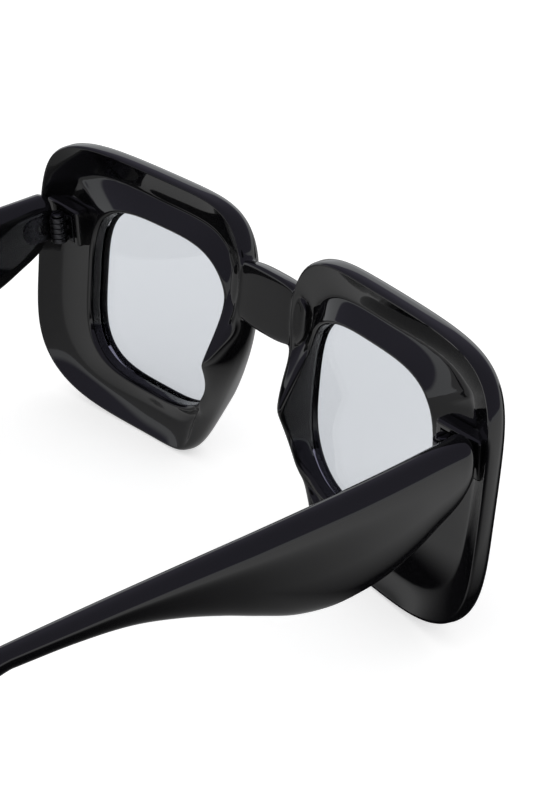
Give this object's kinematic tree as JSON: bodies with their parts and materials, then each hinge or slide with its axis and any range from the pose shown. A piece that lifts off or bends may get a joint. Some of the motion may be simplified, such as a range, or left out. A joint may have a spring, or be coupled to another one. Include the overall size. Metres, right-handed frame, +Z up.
{
  "type": "square sunglasses",
  "caption": "Chunky square sunglasses in gloss black plastic with light grey lenses and folding temples on barrel hinges.",
  "frame": {"origin": "on the table under the middle of the open glasses, which stand on their rims and temple tips", "axes": "+Z up, -Y the way the wearer looks, +X to the wearer's left"},
  "size_m": [0.1452, 0.1474, 0.0607],
  "materials": {
    "black_plastic": "polished gloss black moulded plastic",
    "grey_lens": "clear light grey tint, polished both sides",
    "dark_metal": "blackened steel, satin"
  },
  "bodies": {
    "front": {"front_frame": "black_plastic", "lens_left": "grey_lens", "lens_right": "grey_lens", "front_hinge_left": "dark_metal", "front_hinge_right": "dark_metal", "hinge_screw_left": "dark_metal", "hinge_screw_right": "dark_metal"},
    "left_temple": {"temple_left": "black_plastic", "temple_hinge_left": "dark_metal"},
    "right_temple": {"temple_right": "black_plastic", "temple_hinge_right": "dark_metal"}
  },
  "joints": [
    {"name": "left_fold", "type": "hinge", "parent": "front", "child": "left_temple", "pos_m": [0.0623, -0.0581, 0.0413], "axis": [0, 0.0489, 0.9988], "range_deg": [0, 89]},
    {"name": "right_fold", "type": "hinge", "parent": "front", "child": "right_temple", "pos_m": [-0.0623, -0.0581, 0.0413], "axis": [0, -0.0489, -0.9988], "range_deg": [0, 64]}
  ]
}
